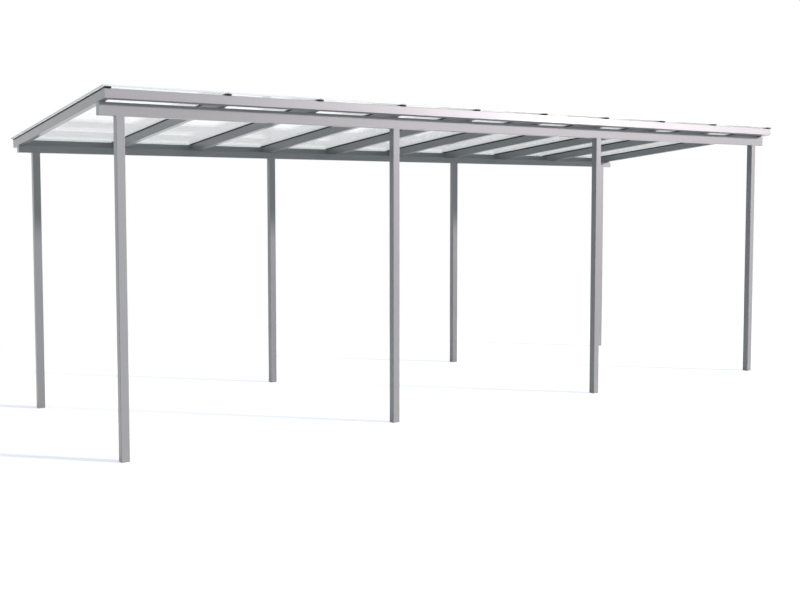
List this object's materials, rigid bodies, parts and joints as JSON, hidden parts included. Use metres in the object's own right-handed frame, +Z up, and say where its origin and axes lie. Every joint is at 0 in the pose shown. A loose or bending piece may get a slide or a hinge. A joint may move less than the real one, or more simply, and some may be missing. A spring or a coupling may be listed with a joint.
{
  "type": "bike shelter",
  "caption": "Open lean-to bike shelter: square tube posts, front and rear beams and sloping rafters under a clear glass roof on black strips.",
  "frame": {"origin": "on the ground under the middle of the roof's plan", "axes": "+X along the shelter, +Y from the tall front to the low rear, +Z up"},
  "size_m": [7.056, 2.5418, 2.5756],
  "materials": {
    "steel_tube": "matt light grey powder coat over galvanised steel",
    "end_plate": "matt light grey powder coat, welded and ground flush",
    "glazing_rubber": "matt black EPDM glazing strip",
    "roof_glass": "clear laminated glass with a green edge"
  },
  "bodies": {
    "root": {"front_post_1": "steel_tube", "front_post_2": "steel_tube", "front_post_3": "steel_tube", "front_post_4": "steel_tube", "rear_post_1": "steel_tube", "rear_post_2": "steel_tube", "rear_post_3": "steel_tube", "rear_post_4": "steel_tube", "front_beam": "steel_tube", "rear_beam": "steel_tube", "front_beam_ends": "end_plate", "rear_beam_ends": "end_plate", "rafter_1": "steel_tube", "rafter_2": "steel_tube", "rafter_3": "steel_tube", "rafter_4": "steel_tube", "rafter_5": "steel_tube", "rafter_6": "steel_tube", "rafter_7": "steel_tube", "rafter_8": "steel_tube", "rafter_9": "steel_tube", "rafter_10": "steel_tube", "front_fascia": "steel_tube", "rear_fascia": "steel_tube", "front_fascia_ends": "end_plate", "rear_fascia_ends": "end_plate", "glazing_strip_1": "glazing_rubber", "glazing_strip_2": "glazing_rubber", "glazing_strip_3": "glazing_rubber", "glazing_strip_4": "glazing_rubber", "glazing_strip_5": "glazing_rubber", "glazing_strip_6": "glazing_rubber", "glazing_strip_7": "glazing_rubber", "glazing_strip_8": "glazing_rubber", "glazing_strip_9": "glazing_rubber", "glazing_strip_10": "glazing_rubber", "glass_pane_1": "roof_glass", "glass_pane_2": "roof_glass", "glass_pane_3": "roof_glass", "glass_pane_4": "roof_glass", "glass_pane_5": "roof_glass", "glass_pane_6": "roof_glass", "glass_pane_7": "roof_glass", "glass_pane_8": "roof_glass", "glass_pane_9": "roof_glass"}
  },
  "joints": []
}
